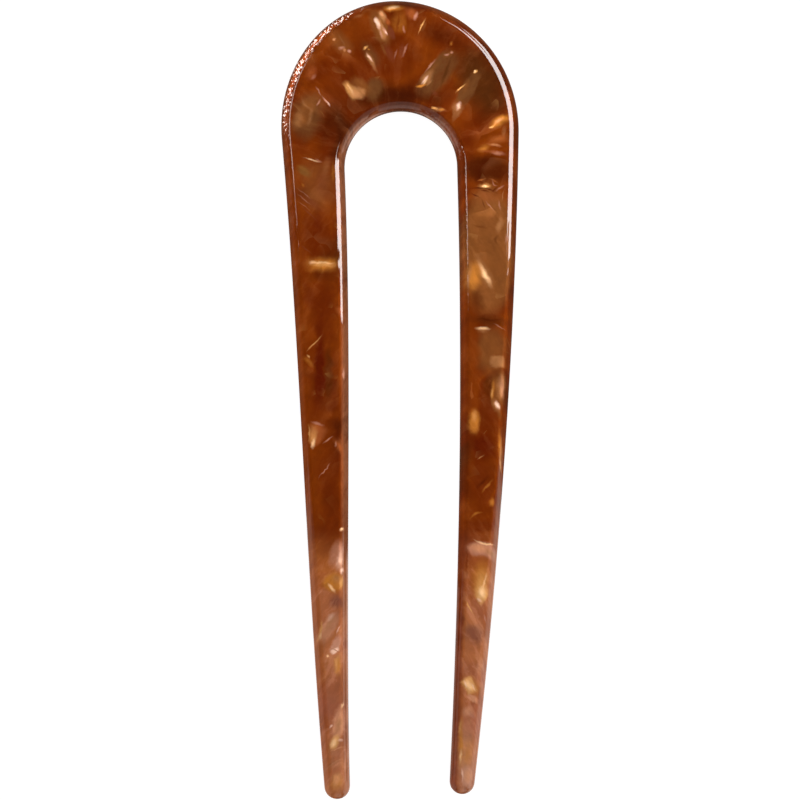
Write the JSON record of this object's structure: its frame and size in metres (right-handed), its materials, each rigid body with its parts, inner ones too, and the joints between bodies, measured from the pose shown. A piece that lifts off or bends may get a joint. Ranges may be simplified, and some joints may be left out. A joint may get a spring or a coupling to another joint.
{
  "type": "french hair pin",
  "caption": "U-shaped hair pin cut from pearl acetate sheet, with a broad rounded crown and long tapered prongs, for holding a twist or bun.",
  "frame": {"origin": "middle of the length and width, on the back face that the pin lies on", "axes": "+X to the right as seen from the front, +Y along the length towards the crown, +Z out of the front face"},
  "size_m": [0.0358, 0.12, 0.004],
  "materials": {
    "pearl_acetate": "polished pearlescent"
  },
  "bodies": {
    "root": {"pin_body": "pearl_acetate"}
  },
  "joints": []
}
